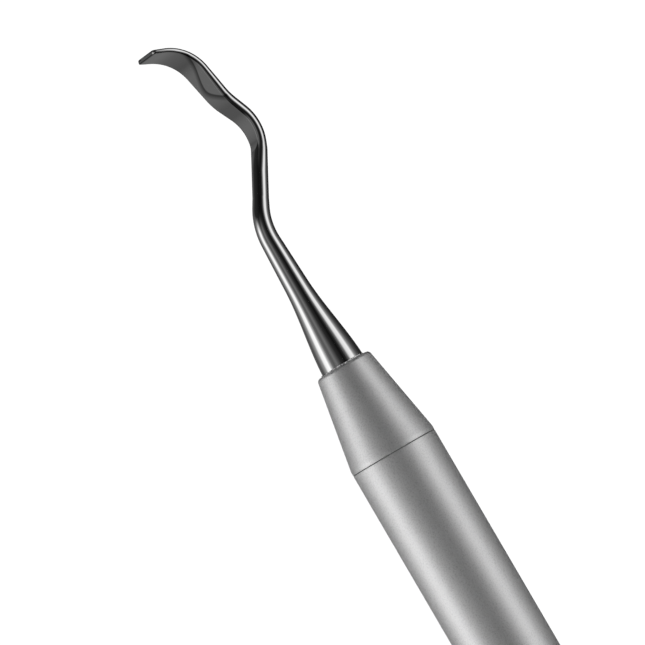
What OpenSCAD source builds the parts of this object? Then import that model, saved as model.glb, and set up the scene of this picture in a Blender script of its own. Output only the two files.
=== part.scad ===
// Double-ended thin dental elevator: a hollow handle tube, a conical ferrule in each
// end of it, and a slender shank in each ferrule that bends into a flat, hooked blade.
// The X axis runs along the handle, with the origin at its middle. All the bends lie in
// the XY plane, and the blades' flats stand upright on it. The two ends are the same
// piece, turned half a turn about Z, so the tool has an S shape.

/* [Handle tube] */
// Length of the bare tube between the two ferrules
tube_l = 80; // [60:1:110]
// Outside diameter of the tube
tube_od = 10; // [9:0.1:12]
// Wall thickness of the tube
tube_wall = 0.8; // [0.5:0.1:1.2]

/* [Ferrule] */
// Length from the seam with the tube to the nose
ferrule_l = 10.8; // [9:0.1:14]
// Straight band next to the seam
band_l = 0.3; // [0.2:0.1:1]
// Radius that blends the band into the cone
shoulder_r = 2; // [1:0.1:4]
// Slope of the cone to the handle axis
cone_angle = 10; // [6:0.5:12]
// Rounding of the nose's edge
nose_r = 0.45; // [0.2:0.05:0.6]
// Bevel that shows the seam
seam_bevel = 0.08; // [0.05:0.01:0.15]
// Length of the spigot inside the tube
spigot_l = 10; // [6:0.5:14]
// Diameter of the vent behind the tang
vent_d = 1.2; // [0.8:0.1:1.6]

/* [Shank] */
// Diameter of the shank where it meets the nose
shank_d = 4.9; // [4:0.1:5]
// Diameter of the slender neck
neck_d = 1.78; // [1.5:0.02:2.2]
// Distance from the seam at which the taper ends in the neck
taper_end = 31; // [28:0.5:34]
// Radius that the slow taper loses per millimetre
taper_rate = 0.045; // [0.03:0.005:0.06]
// Distance from the seam at which the flare at the base has faded out
flare_end = 20.6; // [18:0.2:24]
// Diameter of the tang in the ferrule
tang_d = 3.2; // [2.6:0.1:3.6]
// Length of the tang in the ferrule
tang_l = 12; // [8:0.5:14]
// Leg of the brazed fillet round the shank's base
braze_leg = 0.2; // [0.1:0.05:0.25]

/* [Bends] */
// Distance from the seam to the start of the first bend
bend_start = 26; // [24:0.1:28]
// Angle of the neck bend, away from the handle axis
neck_angle = 31.7; // [20:0.1:40]
// Centreline radius of the neck bend
neck_bend_r = 7.1; // [5:0.1:10]
// Straight neck after that bend
neck_l = 6.3; // [4:0.1:8]
// Angle of the knee, back across the handle axis
knee_angle = 58.8; // [45:0.1:70]
// Centreline radius of the knee
knee_r = 4.8; // [3:0.1:6]
// Straight stretch after the knee
knee_l = 1.5; // [0.5:0.1:3]
// Angle of the shallow counter-bend in the blade
counter_angle = 14.8; // [10:0.1:22]
// Centreline radius of the counter-bend
counter_r = 6.5; // [4:0.1:8]
// Straight stretch in the middle of the blade
blade_l = 3; // [1:0.1:4]
// Angle of the hook's first, tighter arc
hook_angle = 35.5; // [30:0.1:45]
// Centreline radius of that arc
hook_r = 4.8; // [5:0.1:9]
// Angle of the hook's last, wider arc
tip_angle = 22.9; // [15:0.1:35]
// Centreline radius of the last arc
tip_bend_r = 5.3; // [3:0.1:6]
// Straight end of the blade
tip_l = 1.4; // [0.5:0.1:2]

/* [Blade] */
// Width of the blade at the knee
knee_w = 2.5; // [2.2:0.02:3.2]
// Full width of the blade
blade_w = 4.58; // [3.4:0.02:5]
// Width at the square end
tip_w = 4.12; // [3.2:0.02:4.8]
// Thickness at the knee
knee_t = 1.08; // [0.6:0.02:1.2]
// Thickness at the square end
tip_t = 0.48; // [0.3:0.02:0.6]
// Distance from the end at which the blade is at its widest
wide_at = 2.5; // [2:0.5:5]
// Distance from the end at which it has narrowed to the width at the knee
knee_at = 17; // [16:0.5:18]
// Distance from the end at which the blade reaches its full thickness
thick_at = 14; // [10:0.5:16]
// Distance from the end at which the round neck begins to widen
round_to = 20; // [18:0.5:22]
// Distance from the end at which the widening neck has become the blade
flat_from = 15.5; // [14:0.5:17]
// Distance from the end at which the two flats begin on the round
ground_from = 20.2; // [18:0.2:22]
// Distance from the end at which the flats reach the blade's thickness
ground_to = 16.4; // [14:0.2:17]
// Radius of the crowned edges
edge_crown_r = 0.7; // [0.6:0.05:1]
// Radius of the crowned edges at the square end
tip_crown_r = 0.36; // [0.3:0.02:0.7]
// Distance from the end at which the edges reach their full crown
crown_from = 10.5; // [8:0.5:14]
// Rounding of the end's two corners
corner_r = 0.3; // [0.1:0.05:0.5]

/* [Hidden] */
$fn = 72;

tube_r = tube_od / 2;
spigot_r = tube_r - tube_wall;
spigot_chamfer = 0.5;
tang_r = tang_d / 2;
tang_chamfer = 0.4;
drill_clearance = 1;          // the bore is this much deeper than the tang
vent_overrun = 1;
neck_r = neck_d / 2;
shank_overlap = 0.5;          // how far the bent stretch starts inside the straight one
overlap_shrink = 0.01;
profile_step = 1.1;           // spacing of the points along the shank's profile
ring_step = 0.7;              // spacing of the sections along the bent stretch
ring_points = 28;
corner_power = 16;            // sharpness of the corners between the flats and the edges
clear_of_round = 1.6;         // flats this many radii apart leave the neck round

// The centreline as [length, turn] stretches, starting on the seam
function arc_l(angle, r) = angle * PI / 180 * r;
stretches = [
    [bend_start, 0],
    [arc_l(neck_angle, neck_bend_r), neck_angle],
    [neck_l, 0],
    [arc_l(knee_angle, knee_r), -knee_angle],
    [knee_l, 0],
    [arc_l(counter_angle, counter_r), counter_angle],
    [blade_l, 0],
    [arc_l(hook_angle, hook_r), -hook_angle],
    [arc_l(tip_angle, tip_bend_r), -tip_angle],
    [tip_l, 0],
];
function total(list, i = 0) = i == len(list) ? 0 : list[i][0] + total(list, i + 1);
path_l = total(stretches);

// Place [x, y, heading] after d millimetres of one stretch that begins at p
function along(p, stretch, d) =
    stretch[1] == 0 ? [p.x + d * cos(p.z), p.y + d * sin(p.z), p.z]
    : let (turn = stretch[1] * d / stretch[0], r = stretch[0] * 180 / PI / stretch[1])
      [p.x + r * (sin(p.z + turn) - sin(p.z)), p.y - r * (cos(p.z + turn) - cos(p.z)), p.z + turn];
// Place [x, y, heading] d millimetres along the whole centreline
function place(d, i = 0, p = [0, 0, 0]) =
    i == len(stretches) - 1 || d <= stretches[i][0] ? along(p, stretches[i], d)
    : place(d - stretches[i][0], i + 1, along(p, stretches[i], stretches[i][0]));

function blend(t) = let (c = max(0, min(1, t))) c * c * (3 - 2 * c);
function mix(a, b, t) = a + (b - a) * t;

// Radius of the round shank: a slow taper, plus a flare that fades from the base
flare = shank_d / 2 - neck_r - taper_rate * (taper_end - ferrule_l);
function shank_r(d) = neck_r + taper_rate * max(0, taper_end - d)
    + flare * blend((flare_end - d) / (flare_end - ferrule_l));

// Half width and half thickness of the flat blade, to_end millimetres before its end
function blade_half_w(to_end) =
    mix(blade_w, knee_w, pow(max(0, min(1, (to_end - wide_at) / (knee_at - wide_at))), 1.5)) / 2
    - (blade_w - tip_w) / 2 * pow(max(0, 1 - to_end / wide_at), 2)
    - (to_end < corner_r ? corner_r - sqrt(corner_r * corner_r - pow(corner_r - to_end, 2)) : 0);
function blade_half_t(to_end) = mix(tip_t, knee_t, blend(to_end / thick_at)) / 2;

// One section: a round, drawn out to the blade's width and ground flat on both faces
function section(d) =
    let (to_end = path_l - d, p = place(d),
         t = blend((round_to - to_end) / (round_to - flat_from)),
         ground = blend((ground_from - to_end) / (ground_from - ground_to)),
         r = shank_r(d) - (d < bend_start ? overlap_shrink : 0),
         edge = mix(tip_crown_r, edge_crown_r, max(0, min(1, to_end / crown_from))),
         crown = mix(r, edge, t),
         half_w = mix(r, blade_half_w(to_end), t),
         half_t = mix(clear_of_round * r, blade_half_t(to_end), ground))
    [for (k = [0 : ring_points - 1])
        let (angle = 360 * k / ring_points, fall = 1 - abs(sin(angle)), round_a = crown * cos(angle),
             a = round_a * pow(1 + pow(abs(round_a) / half_t, corner_power), -1 / corner_power),
             b = sign(sin(angle)) * (half_w - crown * fall - (half_w - crown) * pow(fall, 3)))
        [p.x - a * sin(p.z), p.y + a * cos(p.z), b]];

// A tube of triangles through a list of sections, closed at both ends by a fan from the middle
function middle(points) = (points[0] + points[len(points) / 2]) / 2;
module sweep(sections) {
    n = len(sections[0]);
    last = len(sections) - 1;
    first_middle = n * (last + 1);
    last_middle = first_middle + 1;
    walls = [for (i = [0 : last - 1], k = [0 : n - 1])
        let (a = i * n + k, b = i * n + (k + 1) % n)
        each [[a, a + n, b], [b, a + n, b + n]]];
    first_cap = [for (k = [0 : n - 1]) [first_middle, k, (k + 1) % n]];
    last_cap = [for (k = [0 : n - 1]) [last_middle, last * n + (k + 1) % n, last * n + k]];
    polyhedron(points = [for (s = sections) each s, middle(sections[0]), middle(sections[last])],
               faces = [each walls, each first_cap, each last_cap], convexity = 6);
}

// Turns a profile of [distance along X, radius] points about the X axis
module turned(profile) {
    rotate([0, 90, 0]) rotate_extrude() polygon([for (p = profile) [p[1], p[0]]]);
}

// The rear end points along +X. The front end is the same piece, half a turn about Z.
module at_rear() { translate([tube_l / 2, 0, 0]) rotate([180, 0, 0]) children(); }
module at_front() { rotate([0, 0, 180]) at_rear() children(); }

module handle_tube() {
    color("silver") turned([
        [-tube_l / 2, spigot_r], [tube_l / 2, spigot_r], [tube_l / 2, tube_r], [-tube_l / 2, tube_r],
    ]);
}

// Points on an arc round [x, r], given by its angles from the X axis
function arc_points(x, r, radius, from, to, steps) =
    [for (i = [0 : steps]) let (a = mix(from, to, i / steps)) [x + radius * cos(a), r + radius * sin(a)]];

shoulder_l = shoulder_r * sin(cone_angle);
shoulder_drop = shoulder_r * (1 - cos(cone_angle));
cone_x = band_l + shoulder_l;
nose_tip_r = tube_r - shoulder_drop - (ferrule_l - cone_x) * tan(cone_angle);
nose_x = ferrule_l - nose_r;
nose_centre_r = nose_tip_r + nose_r * tan(cone_angle) - nose_r / cos(cone_angle);

module ferrule() {
    outline = [
        [-spigot_l, 0], [-spigot_l, spigot_r - spigot_chamfer],
        [-spigot_l + spigot_chamfer, spigot_r], [0, spigot_r],
        [0, tube_r - seam_bevel], [seam_bevel, tube_r],
        each arc_points(band_l, tube_r - shoulder_r, shoulder_r, 90, 90 - cone_angle, 3),
        each arc_points(nose_x, nose_centre_r, nose_r, 90 - cone_angle, 0, 6),
        [ferrule_l, 0],
    ];
    bore_bottom = ferrule_l - tang_l - drill_clearance;
    color("silver") difference() {
        turned(outline);
        translate([bore_bottom, 0, 0]) rotate([0, 90, 0]) cylinder(h = tang_l + 2 * drill_clearance, d = tang_d);
        translate([-spigot_l - vent_overrun, 0, 0]) rotate([0, 90, 0])
            cylinder(h = spigot_l + bore_bottom + 2 * vent_overrun, d = vent_d);
    }
}
module front_ferrule() { at_front() ferrule(); }
module rear_ferrule() { at_rear() ferrule(); }

// A small concave fillet of filler metal in the corner between the nose and the shank
module braze_ring() {
    base_r = shank_r(ferrule_l);
    color("gainsboro") turned([
        [ferrule_l, base_r],
        [ferrule_l + braze_leg, shank_r(ferrule_l + braze_leg)],
        each arc_points(ferrule_l + braze_leg, base_r + braze_leg, braze_leg, 270, 180, 4),
    ]);
}
module front_braze_ring() { at_front() braze_ring(); }
module rear_braze_ring() { at_rear() braze_ring(); }

module working_end() {
    tang_x = ferrule_l - tang_l;
    straight_l = bend_start - ferrule_l;
    steps = ceil(straight_l / profile_step);
    end_steps = 4;
    bent_l = path_l - corner_r - bend_start + shank_overlap;
    rings = ceil(bent_l / ring_step);
    color("gray") union() {
        turned([
            [tang_x, 0], [tang_x, tang_r - tang_chamfer], [tang_x + tang_chamfer, tang_r],
            [ferrule_l, tang_r],
            [ferrule_l, shank_r(ferrule_l)],
            [ferrule_l + braze_leg, shank_r(ferrule_l + braze_leg)],
            each [for (i = [1 : steps]) let (d = ferrule_l + straight_l * i / steps) [d, shank_r(d)]],
            [bend_start, 0],
        ]);
        sweep([
            for (i = [0 : rings]) section(bend_start - shank_overlap + bent_l * i / rings),
            for (i = [1 : end_steps]) section(path_l - corner_r * (1 - sin(90 * i / end_steps))),
        ]);
    }
}
module front_working_end() { at_front() working_end(); }
module rear_working_end() { at_rear() working_end(); }

handle_tube();
front_ferrule();
rear_ferrule();
front_braze_ring();
rear_braze_ring();
front_working_end();
rear_working_end();
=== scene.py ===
import math

import bmesh
import bpy
from mathutils import Matrix, Vector


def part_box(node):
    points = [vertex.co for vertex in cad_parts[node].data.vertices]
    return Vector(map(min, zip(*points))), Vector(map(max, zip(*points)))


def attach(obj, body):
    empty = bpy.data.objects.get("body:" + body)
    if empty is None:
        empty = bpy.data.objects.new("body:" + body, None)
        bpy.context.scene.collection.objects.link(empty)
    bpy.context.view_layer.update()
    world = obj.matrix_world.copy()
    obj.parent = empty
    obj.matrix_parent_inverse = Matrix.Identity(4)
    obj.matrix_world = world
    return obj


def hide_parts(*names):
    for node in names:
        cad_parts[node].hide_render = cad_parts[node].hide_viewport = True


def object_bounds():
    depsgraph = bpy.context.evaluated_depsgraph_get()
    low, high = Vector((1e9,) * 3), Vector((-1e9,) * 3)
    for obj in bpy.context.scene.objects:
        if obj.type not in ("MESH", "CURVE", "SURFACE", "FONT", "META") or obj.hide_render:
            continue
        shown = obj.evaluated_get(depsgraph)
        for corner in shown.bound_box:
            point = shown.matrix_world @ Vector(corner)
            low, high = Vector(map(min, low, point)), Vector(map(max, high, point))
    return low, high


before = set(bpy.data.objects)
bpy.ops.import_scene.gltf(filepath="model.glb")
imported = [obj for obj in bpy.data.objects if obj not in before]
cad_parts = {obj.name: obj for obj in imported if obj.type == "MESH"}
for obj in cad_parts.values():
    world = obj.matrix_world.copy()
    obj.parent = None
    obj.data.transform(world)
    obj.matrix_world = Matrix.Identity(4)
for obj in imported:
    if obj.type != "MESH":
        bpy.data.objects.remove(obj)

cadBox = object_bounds()
mm = 0.001

# Places that every piece is measured from
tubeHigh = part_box("handle_tube")[1]
seamX = tubeHigh.x
tubeR = tubeHigh.z
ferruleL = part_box("rear_ferrule")[1].x - seamX
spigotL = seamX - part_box("rear_ferrule")[0].x
print("frame loaded:", len(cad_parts), "pieces, handle tube", round(2 * seamX / mm, 1), "mm long")

# An end is built from its seam along +X. The rear one is rolled over, the front one is turned half round.
atRear = Matrix.Translation((seamX, 0, 0)) @ Matrix.Rotation(math.pi, 4, "X")
atFront = Matrix.Rotation(math.pi, 4, "Z") @ atRear


# Small helpers for node trees

def feed(tree, value, socket):
    if isinstance(value, bpy.types.NodeSocket):
        tree.links.new(value, socket)
    else:
        socket.default_value = value


def maths(tree, operation, *values):
    node = tree.nodes.new("ShaderNodeMath")
    node.operation = operation
    for socket, value in zip(node.inputs, values):
        feed(tree, value, socket)
    return node.outputs[0]


def plus(tree, a, b):
    return maths(tree, "ADD", a, b)


def minus(tree, a, b):
    return maths(tree, "SUBTRACT", a, b)


def times(tree, a, b):
    return maths(tree, "MULTIPLY", a, b)


def mixFloat(tree, a, b, share):
    return plus(tree, times(tree, minus(tree, b, a), share), a)


def vectorMaths(tree, operation, *values):
    node = tree.nodes.new("ShaderNodeVectorMath")
    node.operation = operation
    sockets = [s for s in node.inputs if s.enabled]
    for socket, value in zip(sockets, values):
        feed(tree, value, socket)
    return node.outputs["Value" if operation == "DOT_PRODUCT" else "Vector"]


def vectorOf(tree, *values):
    node = tree.nodes.new("ShaderNodeCombineXYZ")
    for socket, value in zip(node.inputs, values):
        feed(tree, value, socket)
    return node.outputs[0]


def mapRange(tree, value, fromMin, fromMax, toMin, toMax, kind="LINEAR"):
    node = tree.nodes.new("ShaderNodeMapRange")
    node.interpolation_type = kind
    for socket, given in zip(node.inputs, (value, fromMin, fromMax, toMin, toMax)):
        feed(tree, given, socket)
    return node.outputs[0]


# Camera: over the bends, leaning to the blade's face, with the tip running to the upper left

cameraSet = {
    "lean": math.radians(30),          # from straight above, towards the front of the knee
    "towardsHandle": math.radians(1.7),
    "roll": math.radians(30.25),       # the handle's axis from the picture's upright
    "pastSeam": 15.83 * mm,            # what the picture is centred on
    "aside": 0.42 * mm,
    "fieldWidth": 68.73 * mm,
    "lens": 500,
    "sensor": 36,
}


def makeCamera(s):
    across = Vector((0, math.cos(s["lean"]), math.sin(s["lean"])))
    square = Vector((0, -math.sin(s["lean"]), math.cos(s["lean"])))
    back = square * math.cos(s["towardsHandle"]) + Vector((math.sin(s["towardsHandle"]), 0, 0))
    toTip = back.cross(across)
    up = toTip * math.cos(s["roll"]) + across * math.sin(s["roll"])
    right = up.cross(back)
    target = Vector((-seamX - s["pastSeam"], 0, 0)) + across * s["aside"]
    distance = s["fieldWidth"] / s["sensor"] * s["lens"]
    data = bpy.data.cameras.new("camera")
    data.lens = s["lens"]
    data.sensor_width = s["sensor"]
    data.clip_start = distance / 10
    data.clip_end = distance * 20
    camera = bpy.data.objects.new("camera", data)
    turn = Matrix((right, up, back)).transposed().to_4x4()
    camera.matrix_world = Matrix.Translation(target + back * distance) @ turn
    bpy.context.scene.collection.objects.link(camera)
    bpy.context.scene.camera = camera
    return square, across


squareOn, acrossView = makeCamera(cameraSet)
print("camera ready")


# Studio: lights along both sides of the tool for the metal to mirror, and a pale surround for all the rest

studioSet = {
    "paleLevel": 2.0,
    # light that the metal mirrors, round the handle's axis: degrees from straight over the tool, level
    "beside": [(-180, 0.20), (-150, 0.13), (-130, 0.10), (-115, 0.22), (-97, 0.46), (-86, 1.30),
               (-68, 1.55), (-58, 0.66), (-47, 0.20), (-36, 0.13), (-23, 0.23), (-11, 0.11), (0, 0.035),
               (22, 0.006), (34, 0.03), (46, 0.22), (56, 1.10), (74, 1.30), (84, 0.42), (94, 0.22),
               (104, 0.10), (125, 0.03), (178, 0.02), (180, 0.06)],
    # the same round beyond the lights, towards either end of the tool
    "beyond": [(-180, 0.22), (-155, 0.14), (-130, 0.12), (-100, 0.03), (-50, 0.02), (0, 0.006), (50, 0.01),
               (100, 0.02), (150, 0.02), (180, 0.06)],
    "lightsFrom": 0.32,    # the lights fade between these slants towards the ends
    "lightsTo": 0.64,
    "ringScale": 2.0,      # the ramps hold levels up to 1, so they are divided by this and lit by it
}


def ringRamp(tree, angle, levels, scale):
    ramp = tree.nodes.new("ShaderNodeValToRGB")
    feed(tree, mapRange(tree, angle, -math.pi, math.pi, 0.0, 1.0), ramp.inputs["Fac"])
    stops = ramp.color_ramp.elements
    while len(stops) < len(levels):
        stops.new(0.5)
    for stop, (degrees, level) in zip(stops, levels):
        stop.position = degrees / 360 + 0.5
        stop.color = (level / scale, level / scale, level / scale, 1)
    return ramp.outputs["Color"]


def makeStudio(s):
    world = bpy.data.worlds.new("studio")
    bpy.context.scene.world = world
    world.use_nodes = True
    world.cycles.sampling_method = "NONE"
    tree = world.node_tree
    tree.nodes.clear()
    direction = tree.nodes.new("ShaderNodeTexCoord").outputs["Generated"]
    overhead = vectorMaths(tree, "DOT_PRODUCT", direction, tuple(squareOn))
    sideways = vectorMaths(tree, "DOT_PRODUCT", direction, tuple(acrossView))
    angle = maths(tree, "ARCTAN2", sideways, overhead)
    slant = maths(tree, "ABSOLUTE", vectorMaths(tree, "DOT_PRODUCT", direction, (1, 0, 0)))
    endward = mapRange(tree, slant, s["lightsFrom"], s["lightsTo"], 0.0, 1.0, "SMOOTHSTEP")
    mix = tree.nodes.new("ShaderNodeMix")
    mix.data_type = "RGBA"
    tree.links.new(endward, mix.inputs["Factor"])
    tree.links.new(ringRamp(tree, angle, s["beside"], s["ringScale"]), mix.inputs["A"])
    tree.links.new(ringRamp(tree, angle, s["beyond"], s["ringScale"]), mix.inputs["B"])
    mirrored = tree.nodes.new("ShaderNodeBackground")
    tree.links.new(mix.outputs["Result"], mirrored.inputs["Color"])
    mirrored.inputs["Strength"].default_value = s["ringScale"]
    pale = tree.nodes.new("ShaderNodeBackground")
    pale.inputs["Color"].default_value = (1, 1, 1, 1)
    pale.inputs["Strength"].default_value = s["paleLevel"]
    choose = tree.nodes.new("ShaderNodeMixShader")
    tree.links.new(tree.nodes.new("ShaderNodeLightPath").outputs["Is Glossy Ray"], choose.inputs["Fac"])
    tree.links.new(pale.outputs[0], choose.inputs[1])
    tree.links.new(mirrored.outputs[0], choose.inputs[2])
    tree.links.new(choose.outputs[0], tree.nodes.new("ShaderNodeOutputWorld").inputs["Surface"])


floorSet = {
    "reach": 3.0,
    "tone": 0.03,
    "glow": 1.0,       # a light table, so that nothing shades it
}


def makeFloor(s):
    mesh = bpy.data.meshes.new("floor")
    bm = bmesh.new()
    bmesh.ops.create_grid(bm, x_segments=1, y_segments=1, size=s["reach"])
    bmesh.ops.translate(bm, verts=bm.verts, vec=(0, 0, cadBox[0].z))
    bm.to_mesh(mesh)
    bm.free()
    floor = bpy.data.objects.new("floor", mesh)
    bpy.context.scene.collection.objects.link(floor)
    floor.visible_glossy = False
    paint = bpy.data.materials.new("paleFloor")
    paint.use_nodes = True
    shader = paint.node_tree.nodes["Principled BSDF"]
    shader.inputs["Base Color"].default_value = (s["tone"], s["tone"], s["tone"], 1)
    shader.inputs["Roughness"].default_value = 1.0
    shader.inputs["Specular IOR Level"].default_value = 0.0
    shader.inputs["Emission Color"].default_value = (1, 1, 1, 1)
    shader.inputs["Emission Strength"].default_value = s["glow"]
    mesh.materials.append(paint)


makeStudio(studioSet)
makeFloor(floorSet)
bpy.context.scene.view_settings.view_transform = "Standard"
print("studio ready")


# Materials

def startMaterial(name):
    material = bpy.data.materials.new(name)
    material.use_nodes = True
    tree = material.node_tree
    return material, tree, tree.nodes["Principled BSDF"]


def noise(tree, place, size, detail):
    node = tree.nodes.new("ShaderNodeTexNoise")
    tree.links.new(place, node.inputs["Vector"])
    node.inputs["Scale"].default_value = 1 / size
    node.inputs["Detail"].default_value = detail
    return node.outputs["Fac"]


def varied(tree, fac, middle, spread, reach=0.2):
    # a noise's values lie about 0.5, mostly within this reach of it
    return mapRange(tree, fac, 0.5 - reach, 0.5 + reach, middle - spread, middle + spread)


def roughen(tree, shader, fac, s):
    tree.links.new(varied(tree, fac, s["roughness"], s["roughnessSpread"]), shader.inputs["Roughness"])


def tint(tree, shader, tone):
    grey = tree.nodes.new("ShaderNodeCombineColor")
    for socket in grey.inputs[:3]:
        tree.links.new(tone, socket)
    tree.links.new(grey.outputs[0], shader.inputs["Base Color"])


def bumpOn(tree, shader, height, strength, depth):
    bump = tree.nodes.new("ShaderNodeBump")
    bump.inputs["Strength"].default_value = strength
    bump.inputs["Distance"].default_value = depth
    tree.links.new(height, bump.inputs["Height"])
    tree.links.new(bump.outputs["Normal"], shader.inputs["Normal"])


satinSet = {
    "tone": 0.97,
    "toneSpread": 0.03,
    "mottleSize": 0.9 * mm,
    "grainSize": 0.15 * mm,
    "speckle": 0.16,           # how much the grain varies the tone
    "grainStrength": 0.5,
    "grainDepth": 0.010 * mm,
    "metallic": 0.97,
    "roughness": 0.52,
    "roughnessSpread": 0.05,
    "seamShadeAndResidue": 0.50,          # painted shade and residue, darkening the line where tube and ferrule meet
    "seamHalf": 0.08 * mm,
    "seamCore": 0.024 * mm,
}


def makeSatinSteel(s):
    material, tree, shader = startMaterial("satinSteel")
    place = tree.nodes.new("ShaderNodeTexCoord").outputs["Object"]
    mottle = noise(tree, place, s["mottleSize"], 3.0)
    grain = noise(tree, place, s["grainSize"], 2.0)
    tone = varied(tree, mottle, s["tone"], s["toneSpread"])
    tone = times(tree, tone, varied(tree, grain, 1.0, s["speckle"], reach=0.25))
    # painted shade and residue: the tone darkens in a narrow band either side of each seam
    along = vectorMaths(tree, "DOT_PRODUCT", place, (1, 0, 0))
    offSeam = maths(tree, "ABSOLUTE", minus(tree, maths(tree, "ABSOLUTE", along), seamX))
    seam = mapRange(tree, offSeam, s["seamCore"], s["seamHalf"], 1 - s["seamShadeAndResidue"], 1.0)
    tint(tree, shader, times(tree, tone, seam))
    roughen(tree, shader, grain, s)
    shader.inputs["Metallic"].default_value = s["metallic"]
    bumpOn(tree, shader, grain, s["grainStrength"], s["grainDepth"])
    return material


bendSet = {
    # from the seam to the end: length of a straight in mm, or (turn in degrees, centreline radius in mm)
    "stretches": [26.0, (31.7, 7.1), 6.3, (-58.8, 4.8), 1.5, (14.8, 6.5), 3.0, (-35.5, 4.8),
                  (-22.9, 5.3), 1.4],
    "tangL": 12.0,
    # spacing of the sections in mm
    "chamferStep": 0.1,
    "tangStep": 0.5,
    "straightStep": 0.4,
    "bentStep": 0.12,
    "hair": 0.001,      # the smallest step, at the nose and at the end's cap
}


def totalLength(stretches):
    return sum(s if isinstance(s, (int, float)) else math.radians(abs(s[0])) * s[1] for s in stretches)


polishedSet = {
    "tone": 0.66,
    "roughness": 0.075,
    "roughnessSpread": 0.02,
    "lineSize": 0.05 * mm,
    "lineStretch": 40,
    "lineStrength": 0.4,
    "lineDepth": 0.0004 * mm,
    "paintedEdgeDark": 0.85,       # how much painted dark reflection darkens the broken edges of the blade
    "hollowShade": 0.72,     # and the painted shade along the border of the hollow in its inner face
    # that border is two straight lines, blended: a point on each (mm from the end, mm off the middle) and
    # the way that the line faces, in degrees
    "hollowUpper": (4.3, 2.1, 55.8),
    "hollowLower": (10.0, 1.6, 154.7),
    "hollowBlend": 2.2,
    # the painted shade's tone falls and rises again between these distances from the border, in mm
    "darkOutside": (-0.7, -0.08),
    "darkInside": (-0.02, 0.16),
    "innerFrom": 0.05 * mm,     # the inner face starts this far off the blade's middle plane
}


def awayFromLine(tree, toTip, offMiddle, line):
    e, b, degrees = line
    c, s = math.cos(math.radians(degrees)), math.sin(math.radians(degrees))
    away = plus(tree, times(tree, toTip, c), times(tree, offMiddle, s))
    return minus(tree, away, e * c + b * s)


# painted shade: a dark band along the border of a hollow in the inner face, which the flat faces of the mesh
# don't have
def hollowBorderShade(tree, place, s):
    apart = tree.nodes.new("ShaderNodeSeparateXYZ")
    tree.links.new(place, apart.inputs[0])
    along, through, aside = apart.outputs
    toTip = minus(tree, totalLength(bendSet["stretches"]), maths(tree, "DIVIDE", along, mm))
    offMiddle = maths(tree, "DIVIDE", aside, -mm)
    inside = maths(tree, "SMOOTH_MIN", awayFromLine(tree, toTip, offMiddle, s["hollowUpper"]),
                   awayFromLine(tree, toTip, offMiddle, s["hollowLower"]), s["hollowBlend"])
    rise = mapRange(tree, inside, *s["darkOutside"], 0.0, 1.0)
    fall = mapRange(tree, inside, *s["darkInside"], 1.0, 0.0, "SMOOTHSTEP")
    innerFace = maths(tree, "LESS_THAN", through, -s["innerFrom"])
    return times(tree, innerFace, times(tree, rise, fall))


def makePolishedSteel(s):
    material, tree, shader = startMaterial("polishedSteel")
    along = tree.nodes.new("ShaderNodeAttribute")
    along.attribute_name = "grainPlace"
    squeeze = tree.nodes.new("ShaderNodeMapping")
    squeeze.inputs["Scale"].default_value = (1 / s["lineStretch"], 1, 1)
    tree.links.new(along.outputs["Vector"], squeeze.inputs["Vector"])
    lines = noise(tree, squeeze.outputs["Vector"], s["lineSize"], 2.0)
    # painted dark reflection: the tone falls along the blade's edges and behind its end
    edge = tree.nodes.new("ShaderNodeAttribute")
    edge.attribute_name = "paintedEdgeReflection"
    tone = maths(tree, "MULTIPLY_ADD", edge.outputs["Fac"], -s["tone"] * s["paintedEdgeDark"], s["tone"])
    # painted shade along the hollow's border
    border = hollowBorderShade(tree, along.outputs["Vector"], s)
    border = maths(tree, "MULTIPLY_ADD", border, -s["hollowShade"], 1.0)
    tint(tree, shader, times(tree, tone, border))
    roughen(tree, shader, lines, s)
    shader.inputs["Metallic"].default_value = 1.0
    bumpOn(tree, shader, lines, s["lineStrength"], s["lineDepth"])
    return material


brazeSet = {
    "tone": 0.95,
    "toneLow": 0.15,
    "brightFrom": (0.42, 0.56),     # the noise turns the tone from low to high between these
    "metallic": 0.75,
    "roughness": 0.30,
    "roughnessSpread": 0.09,
    "lumpSize": 0.5 * mm,
    "lumpStrength": 0.6,
    "lumpDepth": 0.02 * mm,
}


def makeSilverBraze(s):
    material, tree, shader = startMaterial("silverBraze")
    place = tree.nodes.new("ShaderNodeTexCoord").outputs["Object"]
    lumps = noise(tree, place, s["lumpSize"], 2.0)
    tint(tree, shader, mapRange(tree, lumps, *s["brightFrom"], s["toneLow"], s["tone"]))
    roughen(tree, shader, lumps, s)
    shader.inputs["Metallic"].default_value = s["metallic"]
    bumpOn(tree, shader, lumps, s["lumpStrength"], s["lumpDepth"])
    return material


satinSteel = makeSatinSteel(satinSet)
polishedSteel = makePolishedSteel(polishedSet)
silverBraze = makeSilverBraze(brazeSet)
print("materials ready")


# Turned pieces: a closed outline of (distance along X, radius) points, spun about the X axis

def arc(x, r, radius, fromAngle, toAngle, steps):
    points = []
    for i in range(steps + 1):
        a = math.radians(fromAngle + (toAngle - fromAngle) * i / steps)
        points.append((x + radius * math.cos(a), r + radius * math.sin(a)))
    return points


def finishMesh(name, mesh, material, sharpFrom=32):
    mesh.materials.clear()
    mesh.materials.append(material)
    mesh.shade_smooth()
    mesh.set_sharp_from_angle(angle=math.radians(sharpFrom))
    piece = bpy.data.objects.new(name, mesh)
    bpy.context.scene.collection.objects.link(piece)
    return piece


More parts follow.
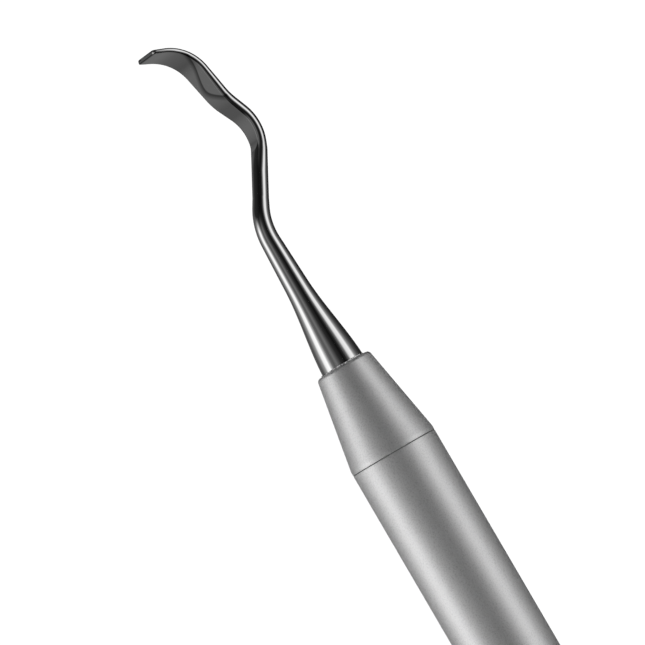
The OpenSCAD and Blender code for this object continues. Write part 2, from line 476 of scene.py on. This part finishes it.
def spinOutline(name, outline, sides, material, place=None, wobble=None):
    bm = bmesh.new()
    rings = []
    for i in range(sides):
        a = 2 * math.pi * i / sides
        points = wobble(outline, a) if wobble else outline
        rings.append([bm.verts.new((x, r * math.cos(a), r * math.sin(a))) for x, r in points])
    for i in range(sides):
        here, after = rings[i], rings[(i + 1) % sides]
        for k in range(len(outline)):
            j = (k + 1) % len(outline)
            bm.faces.new((here[k], here[j], after[j], after[k]))
    bmesh.ops.recalc_face_normals(bm, faces=bm.faces)
    mesh = bpy.data.meshes.new(name)
    bm.to_mesh(mesh)
    bm.free()
    if place:
        mesh.transform(place)
    return finishMesh(name, mesh, material)


handleSet = {
    "wall": 0.8 * mm,
    "seamRound": 0.08 * mm,
    "sides": 256,
}


def makeHandle(s):
    inner = tubeR - s["wall"]
    edge = s["seamRound"]
    outline = [(-seamX, inner), (seamX, inner)]
    outline += arc(seamX - edge, tubeR - edge, edge, 0, 90, steps=4)
    outline += arc(-seamX + edge, tubeR - edge, edge, 90, 180, steps=4)
    tube = spinOutline("handleTube", outline, s["sides"], satinSteel)
    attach(tube, "root")
    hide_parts("handle_tube")


ferruleSet = {
    "band": 0.3 * mm,           # straight stretch beside the seam
    "seamRound": 0.10 * mm,
    "shoulderR": 2.0 * mm,
    "coneAngle": 10,
    "noseR": 0.45 * mm,
    "boreR": 1.6 * mm,
    "boreL": 13 * mm,
    "ventR": 0.6 * mm,
    "chamfer": 0.5 * mm,
    "sides": 256,
}


def makeFerrule(name, node, place, s):
    spigotR = tubeR - handleSet["wall"]
    slope = math.radians(s["coneAngle"])
    edge = s["seamRound"]
    coneX = s["band"] + s["shoulderR"] * math.sin(slope)
    drop = s["shoulderR"] * (1 - math.cos(slope))
    tipR = tubeR - drop - (ferruleL - coneX) * math.tan(slope)
    noseX = ferruleL - s["noseR"]
    noseCentreR = tipR + s["noseR"] * math.tan(slope) - s["noseR"] / math.cos(slope)
    boreBottom = ferruleL - s["boreL"]
    outline = [(-spigotL, s["ventR"]), (-spigotL, spigotR - s["chamfer"]), (-spigotL + s["chamfer"], spigotR),
               (0, spigotR)]
    outline += arc(edge, tubeR - edge, edge, 180, 90, steps=4)
    outline += arc(s["band"], tubeR - s["shoulderR"], s["shoulderR"], 90, 90 - s["coneAngle"], steps=8)
    outline += arc(noseX, noseCentreR, s["noseR"], 90 - s["coneAngle"], 0, steps=14)
    outline += [(ferruleL, s["boreR"]), (boreBottom, s["boreR"]), (boreBottom, s["ventR"])]
    ferrule = spinOutline(name, outline, s["sides"], satinSteel, place)
    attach(ferrule, "root")
    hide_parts(node)


makeHandle(handleSet)
makeFerrule("frontFerrule", "front_ferrule", atFront, ferruleSet)
makeFerrule("rearFerrule", "rear_ferrule", atRear, ferruleSet)
print("handle and ferrules ready")


# Working ends: one section rule swept along a bent centreline by a Geometry Nodes tree

bladeSet = {
    "Tang Radius": 1.6 * mm,
    "Tang Chamfer": 0.4 * mm,
    "Ferrule Length": ferruleL,
    "Shank Radius": 2.45 * mm,
    "Base Round": 0.12 * mm,
    "Neck Radius": 0.888 * mm,
    "Taper End": 31 * mm,           # distances of the shank are from the seam
    "Taper Rate": 0.045,
    "Flare End": 20.6 * mm,
    "Knee Width": 2.5 * mm,
    "Blade Width": 4.52 * mm,
    "Tip Width": 4.12 * mm,
    "Knee At": 17 * mm,             # distances of the blade are from its end
    "Wide At": 2.5 * mm,
    "Knee Thickness": 1.058 * mm,
    "Tip Thickness": 0.48 * mm,
    "Thick At": 14 * mm,
    "Round To": 20 * mm,
    "Flat From": 15.5 * mm,
    "Corner Radius": 0.30 * mm,
    "End Round": 0.06 * mm,
    "Ground From": 20.2 * mm,
    "Ground To": 16.4 * mm,
    "Unground": 1.6,                # the faces start this many radii out, clear of the round steel
    "Edge Crown": 0.70 * mm,        # radius of the blade's long edges
    "Tip Crown": 0.36 * mm,
    "Crown From": 10.5 * mm,
    "Corner Sharpness": 36.0,       # of the corner between an edge and a face
    "Tip Sharpness": 7.0,
    "Softer From": 7.5 * mm,
    "Softer To": 3.5 * mm,
    "Cap Size": 0.65,               # the last section closes in to this share
    "Section Points": 208,
}

# Where painted dark reflection lies on the broken edges, in shares of the half thickness: 0 on the middle
# plane, 1 at a face
edgeReflectionSet = {
    "innerDark": (0.80, 1.0),           # the tone falls between these on the inner half
    "backDark": (0.08, 0.42),           # and between these on the back half
    "faceFrom": (1.0, 1.06),            # and rises again on the faces
    "endBand": (0.14 * mm, 0.28 * mm),  # painted dark reflection in a band behind the end
    "endSides": (0.80, 0.97),           # it fades before the sides, in shares of the half width
}


def placeAt(stretches, distance):
    x = y = heading = 0.0
    for number, stretch in enumerate(stretches):
        last = number == len(stretches) - 1
        if isinstance(stretch, (int, float)):
            length = distance if last else min(distance, stretch)
            x += length * math.cos(heading)
            y += length * math.sin(heading)
        else:
            turn, radius = math.radians(stretch[0]), math.copysign(stretch[1], stretch[0])
            length = min(distance, turn * radius)
            bent = heading + length / radius
            x += radius * (math.sin(bent) - math.sin(heading))
            y -= radius * (math.cos(bent) - math.cos(heading))
            heading = bent
        distance -= length
        if distance <= 0:
            break
    return x, y


def spaced(start, stop, spacing):
    count = max(1, math.ceil((stop - start) / spacing))
    return [start + (stop - start) * i / count for i in range(count + 1)]


def spineDistances(s):
    # sections stand close together where the steel is rounded or bent
    nose = ferruleL / mm
    tang = nose - s["tangL"]
    end = totalLength(s["stretches"])
    firstBend = s["stretches"][0]
    chamfer = bladeSet["Tang Chamfer"] / mm
    baseRound = bladeSet["Base Round"] / mm
    corner = bladeSet["Corner Radius"] / mm
    endRound = bladeSet["End Round"] / mm
    found = spaced(tang, tang + chamfer, s["chamferStep"])
    found += spaced(tang + chamfer, nose - s["hair"], s["tangStep"])
    found += [nose + baseRound * (1 - math.cos(math.radians(a))) for a in range(0, 91, 15)]
    found += spaced(nose + baseRound, firstBend, s["straightStep"])
    found += spaced(firstBend, end - corner, s["bentStep"])
    found += [end - corner * (1 - math.sin(math.radians(a))) for a in range(0, 61, 6)]
    found += [end - endRound * (1 - math.sin(math.radians(a))) for a in range(0, 91, 15)]
    found = sorted(found)
    kept = [found[0]]
    for distance in found[1:]:
        if distance - kept[-1] > 0.8 * s["hair"]:
            kept.append(distance)
    return kept + [end + s["hair"]]


def makeSpine(s):
    points = []
    for distance in spineDistances(s):
        x, y = placeAt(s["stretches"], distance) if distance > 0 else (distance, 0.0)
        points.append((x * mm, y * mm, 0))
    mesh = bpy.data.meshes.new("spine")
    mesh.from_pydata(points, [(i, i + 1) for i in range(len(points) - 1)], [])
    return mesh


def capture(tree, geometry, fields):
    node = tree.nodes.new("GeometryNodeCaptureAttribute")
    tree.links.new(geometry, node.inputs[0])
    for name, (kind, field) in fields.items():
        node.capture_items.new(kind, name)
        tree.links.new(field, node.inputs[name])
    return node.outputs[0], {name: node.outputs[name] for name in fields}


def storeOnPoints(tree, geometry, name, kind, field):
    store = tree.nodes.new("GeometryNodeStoreNamedAttribute")
    store.data_type = kind
    store.domain = "POINT"
    store.inputs["Name"].default_value = name
    tree.links.new(geometry, store.inputs["Geometry"])
    tree.links.new(field, store.inputs["Value"])
    return store.outputs[0]


def roundOff(tree, distance, radius):
    # how far a rounded edge is cut back, at a distance from the end that it rounds
    short = maths(tree, "MAXIMUM", minus(tree, radius, distance), 0.0)
    square = minus(tree, maths(tree, "POWER", radius, 2.0), maths(tree, "POWER", short, 2.0))
    return minus(tree, radius, maths(tree, "SQRT", maths(tree, "MAXIMUM", square, 0.0)))


def shankRadius(tree, given, fromSeam, pastNose):
    # a slow taper, and a flare that fades out from the base
    rate, end = given["Taper Rate"], given["Taper End"]
    taper = times(tree, rate, maths(tree, "MAXIMUM", minus(tree, end, fromSeam), 0.0))
    taperAtBase = times(tree, rate, minus(tree, end, given["Ferrule Length"]))
    flare = minus(tree, minus(tree, given["Shank Radius"], given["Neck Radius"]), taperAtBase)
    flared = mapRange(tree, fromSeam, given["Flare End"], given["Ferrule Length"], 0.0, flare, "SMOOTHSTEP")
    shank = plus(tree, given["Neck Radius"], plus(tree, taper, flared))
    return minus(tree, shank, roundOff(tree, pastNose, given["Base Round"]))


def tangRadius(tree, given, fromSeam):
    chamferEnd = plus(tree, given["Start"], given["Tang Chamfer"])
    chamfer = mapRange(tree, fromSeam, given["Start"], chamferEnd, given["Tang Chamfer"], 0.0)
    return minus(tree, given["Tang Radius"], chamfer)


def bladeHalfWidth(tree, given, toEnd):
    # widest at Wide At, narrower towards the knee and a little towards the end
    widest = given["Blade Width"]
    toKnee = maths(tree, "POWER", mapRange(tree, toEnd, given["Wide At"], given["Knee At"], 0.0, 1.0), 1.5)
    toTip = maths(tree, "POWER", mapRange(tree, toEnd, 0.0, given["Wide At"], 1.0, 0.0), 2.0)
    width = mixFloat(tree, widest, given["Knee Width"], toKnee)
    width = minus(tree, width, times(tree, toTip, minus(tree, widest, given["Tip Width"])))
    return minus(tree, times(tree, width, 0.5), roundOff(tree, toEnd, given["Corner Radius"]))


def bladeHalfThickness(tree, given, toEnd):
    thick = mapRange(tree, toEnd, 0.0, given["Thick At"], given["Tip Thickness"], given["Knee Thickness"],
                     "SMOOTHSTEP")
    return minus(tree, times(tree, thick, 0.5), roundOff(tree, toEnd, given["End Round"]))


def spineFields(tree, given):
    # everything that a section needs to know about its place along the steel
    hair = bendSet["hair"] * mm
    along = tree.nodes.new("GeometryNodeSplineParameter").outputs["Length"]
    whole = tree.nodes.new("GeometryNodeSplineLength").outputs["Length"]
    fromSeam = plus(tree, along, given["Start"])
    toEnd = minus(tree, whole, along)
    pastNose = minus(tree, fromSeam, given["Ferrule Length"])
    isShank = maths(tree, "GREATER_THAN", pastNose, -0.5 * hair)
    roundR = mixFloat(tree, tangRadius(tree, given, fromSeam), shankRadius(tree, given, fromSeam, pastNose),
                      isShank)
    flatness = mapRange(tree, toEnd, given["Round To"], given["Flat From"], 0.0, 1.0, "SMOOTHSTEP")
    ground = mapRange(tree, toEnd, given["Ground From"], given["Ground To"], 0.0, 1.0, "SMOOTHSTEP")
    capSize = mapRange(tree, toEnd, 0.0, hair, given["Cap Size"], 1.0)
    unground = times(tree, roundR, given["Unground"])
    halfA = mixFloat(tree, unground, bladeHalfThickness(tree, given, toEnd), ground)
    halfB = mixFloat(tree, roundR, bladeHalfWidth(tree, given, toEnd), flatness)
    crown = mapRange(tree, toEnd, 0.0, given["Crown From"], given["Tip Crown"], given["Edge Crown"])
    crown = mixFloat(tree, roundR, crown, flatness)
    sharpness = mapRange(tree, toEnd, given["Softer From"], given["Softer To"], given["Corner Sharpness"],
                         given["Tip Sharpness"])
    # painted dark reflection in a band behind the end, left off on the end's cap
    endEdge = mapRange(tree, toEnd, *edgeReflectionSet["endBand"], 1.0, 0.0)
    endEdge = times(tree, endEdge, maths(tree, "GREATER_THAN", toEnd, 0.5 * hair))
    tangent = tree.nodes.new("GeometryNodeInputTangent").outputs[0]
    side = vectorMaths(tree, "NORMALIZE", vectorMaths(tree, "CROSS_PRODUCT", (0, 0, 1), tangent))
    return {
        "centre": ("VECTOR", tree.nodes.new("GeometryNodeInputPosition").outputs[0]),
        "side": ("VECTOR", side),
        "halfA": ("FLOAT", times(tree, halfA, capSize)),
        "halfB": ("FLOAT", times(tree, halfB, capSize)),
        "crown": ("FLOAT", times(tree, crown, capSize)),
        "sharpness": ("FLOAT", sharpness),
        "fromSeam": ("FLOAT", fromSeam),
        "blade": ("FLOAT", flatness),
        "endEdge": ("FLOAT", endEdge),
    }


def sectionPoint(tree, turn, held):
    # a round of the crown's radius, drawn out to the full width and cut flat on both faces
    angle = times(tree, turn, 2 * math.pi)
    sine = maths(tree, "SINE", angle)
    fall = minus(tree, 1.0, maths(tree, "ABSOLUTE", sine))
    drawn = minus(tree, held["halfB"], held["crown"])
    height = minus(tree, held["halfB"], times(tree, held["crown"], fall))
    height = minus(tree, height, times(tree, drawn, maths(tree, "POWER", fall, 3.0)))
    wide = times(tree, held["crown"], maths(tree, "COSINE", angle))
    share = maths(tree, "ABSOLUTE", maths(tree, "DIVIDE", wide, held["halfA"]))
    over = maths(tree, "POWER", share, held["sharpness"])
    cut = maths(tree, "POWER", plus(tree, 1.0, over), maths(tree, "DIVIDE", -1.0, held["sharpness"]))
    return {
        "offA": times(tree, wide, cut),
        "offB": times(tree, height, maths(tree, "SIGN", sine)),
        "atBack": maths(tree, "GREATER_THAN", wide, 0.0),
        "faceShare": share,
        "sideShare": maths(tree, "ABSOLUTE", sine),
    }


def edgeReflectionShare(tree, point, held, s):
    # painted dark reflection on both long corners of the section, wider towards the back, and on the edge
    # round the end
    darkFrom, darkTo = [mixFloat(tree, inner, back, point["atBack"])
                        for inner, back in zip(s["innerDark"], s["backDark"])]
    rise = mapRange(tree, point["faceShare"], darkFrom, darkTo, 0.0, 1.0)
    fall = mapRange(tree, point["faceShare"], *s["faceFrom"], 1.0, 0.0, "SMOOTHSTEP")
    corners = times(tree, times(tree, rise, fall), held["blade"])
    endward = mapRange(tree, point["sideShare"], *s["endSides"], 1.0, 0.0)
    return maths(tree, "MAXIMUM", corners, times(tree, held["endEdge"], endward))


def makeBladeTree():
    tree = bpy.data.node_groups.new("bentBlade", "GeometryNodeTree")
    face = tree.interface
    face.new_socket("Spine", in_out="INPUT", socket_type="NodeSocketGeometry")
    face.new_socket("Start", in_out="INPUT", socket_type="NodeSocketFloat")    # where the tang starts
    for name in bladeSet:
        kind = "NodeSocketInt" if name == "Section Points" else "NodeSocketFloat"
        face.new_socket(name, in_out="INPUT", socket_type=kind)
    face.new_socket("Material", in_out="INPUT", socket_type="NodeSocketMaterial")
    face.new_socket("Blade", in_out="OUTPUT", socket_type="NodeSocketGeometry")
    given = tree.nodes.new("NodeGroupInput").outputs

    # a round tube is swept along the centreline, and every point of it is then put in its place
    curve = tree.nodes.new("GeometryNodeMeshToCurve")
    tree.links.new(given["Spine"], curve.inputs["Mesh"])
    spine, held = capture(tree, curve.outputs["Curve"], spineFields(tree, given))
    circle = tree.nodes.new("GeometryNodeCurvePrimitiveCircle")
    tree.links.new(given["Section Points"], circle.inputs["Resolution"])
    circle.inputs["Radius"].default_value = mm
    factor = tree.nodes.new("GeometryNodeSplineParameter").outputs["Factor"]
    section, turned = capture(tree, circle.outputs["Curve"], {"turn": ("FLOAT", factor)})
    sweep = tree.nodes.new("GeometryNodeCurveToMesh")
    tree.links.new(spine, sweep.inputs["Curve"])
    tree.links.new(section, sweep.inputs["Profile Curve"])
    sweep.inputs["Fill Caps"].default_value = True

    point = sectionPoint(tree, turned["turn"], held)
    sideways = vectorMaths(tree, "SCALE", held["side"])
    feed(tree, point["offA"], sideways.node.inputs["Scale"])
    offCentre = vectorMaths(tree, "ADD", sideways, vectorOf(tree, 0.0, 0.0, point["offB"]))
    place = tree.nodes.new("GeometryNodeSetPosition")
    tree.links.new(sweep.outputs["Mesh"], place.inputs["Geometry"])
    tree.links.new(vectorMaths(tree, "ADD", held["centre"], offCentre), place.inputs["Position"])

    # where each point is along and across the steel, for the polishing lines and the painted shade along the
    # hollow's border
    grain = vectorOf(tree, held["fromSeam"], point["offA"], point["offB"])
    marked = storeOnPoints(tree, place.outputs[0], "grainPlace", "FLOAT_VECTOR", grain)
    # stores where painted dark reflection darkens the edges
    marked = storeOnPoints(tree, marked, "paintedEdgeReflection", "FLOAT", edgeReflectionShare(tree, point, held, edgeReflectionSet))

    real = tree.nodes.new("GeometryNodeRealizeInstances")
    tree.links.new(marked, real.inputs[0])
    paint = tree.nodes.new("GeometryNodeSetMaterial")
    tree.links.new(real.outputs[0], paint.inputs["Geometry"])
    tree.links.new(given["Material"], paint.inputs["Material"])
    tree.links.new(paint.outputs[0], tree.nodes.new("NodeGroupOutput").inputs["Blade"])
    return tree


def runTree(tree, mesh, values):
    # puts the tree on a mesh with these inputs, and returns the finished plain mesh
    carrier = bpy.data.objects.new("carrier", mesh)
    bpy.context.scene.collection.objects.link(carrier)
    modifier = carrier.modifiers.new("tree", "NODES")
    modifier.node_group = tree
    for item in tree.interface.items_tree:
        if item.in_out == "INPUT" and item.name in values:
            modifier[item.identifier] = values[item.name]
    graph = bpy.context.evaluated_depsgraph_get()
    made = bpy.data.meshes.new_from_object(carrier.evaluated_get(graph))
    carrier.modifiers.remove(modifier)
    bpy.data.objects.remove(carrier)
    return made


def faceOutwards(mesh):
    bm = bmesh.new()
    bm.from_mesh(mesh)
    bmesh.ops.remove_doubles(bm, verts=bm.verts, dist=0.05 * bendSet["hair"] * mm)
    bmesh.ops.recalc_face_normals(bm, faces=bm.faces)
    bm.to_mesh(mesh)
    bm.free()


bladeTree = makeBladeTree()


def makeWorkingEnd(name, node, place):
    values = dict(bladeSet)
    values["Start"] = ferruleL - bendSet["tangL"] * mm
    values["Material"] = polishedSteel
    mesh = runTree(bladeTree, makeSpine(bendSet), values)
    faceOutwards(mesh)
    mesh.transform(place)
    piece = finishMesh(name, mesh, polishedSteel, sharpFrom=60)
    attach(piece, "root")
    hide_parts(node)


makeWorkingEnd("frontWorkingEnd", "front_working_end", atFront)
makeWorkingEnd("rearWorkingEnd", "rear_working_end", atRear)
print("working ends ready")


# Braze: an uneven little bead in the corner between the nose and the shank

brazeRingSet = {
    "inner": 2.33 * mm,
    "outer": 2.62 * mm,
    "sink": 0.01 * mm,      # into the nose
    "height": 0.13 * mm,
    "innerHigh": 0.8,       # shares of the height at the bead's two edges
    "outerHigh": 0.25,
    "outerLean": 0.98,      # the outer edge leans in to this share of its radius
    "unevenness": 0.35,
    "lumps": [(3, 0.4, 0.5), (5, 1.9, 0.3), (11, 0.7, 0.2)],   # waves round the ring, phase, share
    "sides": 192,
}


def makeBraze(name, node, place, s):
    base = ferruleL - s["sink"]
    outline = [(base, s["inner"]), (ferruleL + s["height"] * s["innerHigh"], s["inner"])]
    outline += arc(ferruleL, s["inner"] + s["height"], s["height"], 80, 20, steps=3)
    outline += [(ferruleL + s["height"] * s["outerHigh"], s["outer"] * s["outerLean"]), (base, s["outer"])]

    def lumpy(points, angle):
        grow = sum(share * math.sin(waves * angle + phase) for waves, phase, share in s["lumps"])
        grow = 1 + s["unevenness"] * grow
        return [(ferruleL + (x - ferruleL) * grow if x > ferruleL else x,
                 s["inner"] + (r - s["inner"]) * grow) for x, r in points]

    bead = spinOutline(name, outline, s["sides"], silverBraze, place, lumpy)
    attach(bead, "root")
    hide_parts(node)


makeBraze("frontBraze", "front_braze_ring", atFront, brazeRingSet)
makeBraze("rearBraze", "rear_braze_ring", atRear, brazeRingSet)
print("braze ready")
